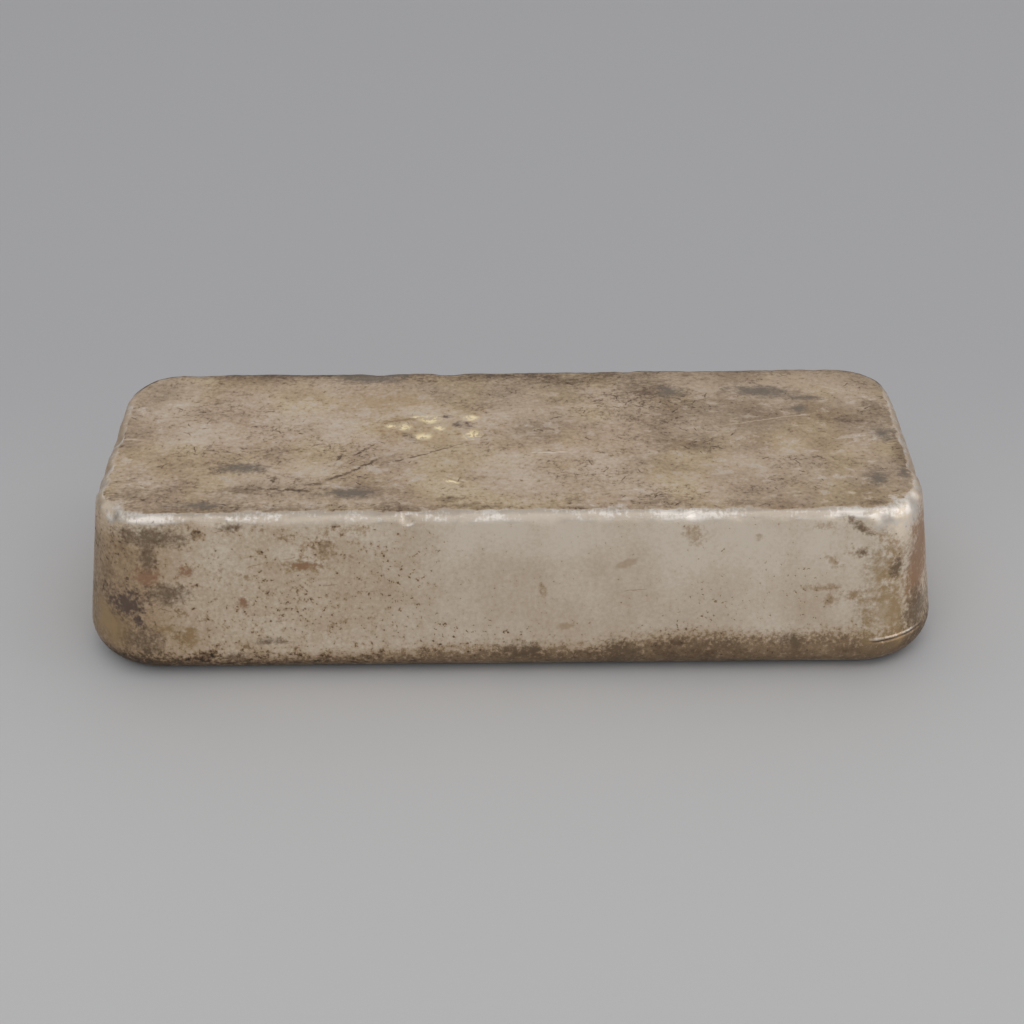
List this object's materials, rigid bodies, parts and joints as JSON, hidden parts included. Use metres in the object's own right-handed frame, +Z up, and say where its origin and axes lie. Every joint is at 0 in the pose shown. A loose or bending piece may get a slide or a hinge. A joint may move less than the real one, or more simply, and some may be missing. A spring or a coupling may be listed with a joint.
{
  "type": "silver bar",
  "caption": "Cast loaf-shaped silver bar with drafted walls, rounded corners and edges, and a poured face with a rounded rim and a shallow shrinkage hollow, lying on that face.",
  "frame": {"origin": "middle of the face that the bar rests on", "axes": "+X along the length, +Y across the width, +Z up from the poured face to the mould-bottom face"},
  "size_m": [0.1884, 0.073, 0.039],
  "materials": {
    "cast_silver": "as-cast silver with a dull warm tarnish, rubbed bright along the edges"
  },
  "bodies": {
    "root": {"silver_bar": "cast_silver"}
  },
  "joints": []
}
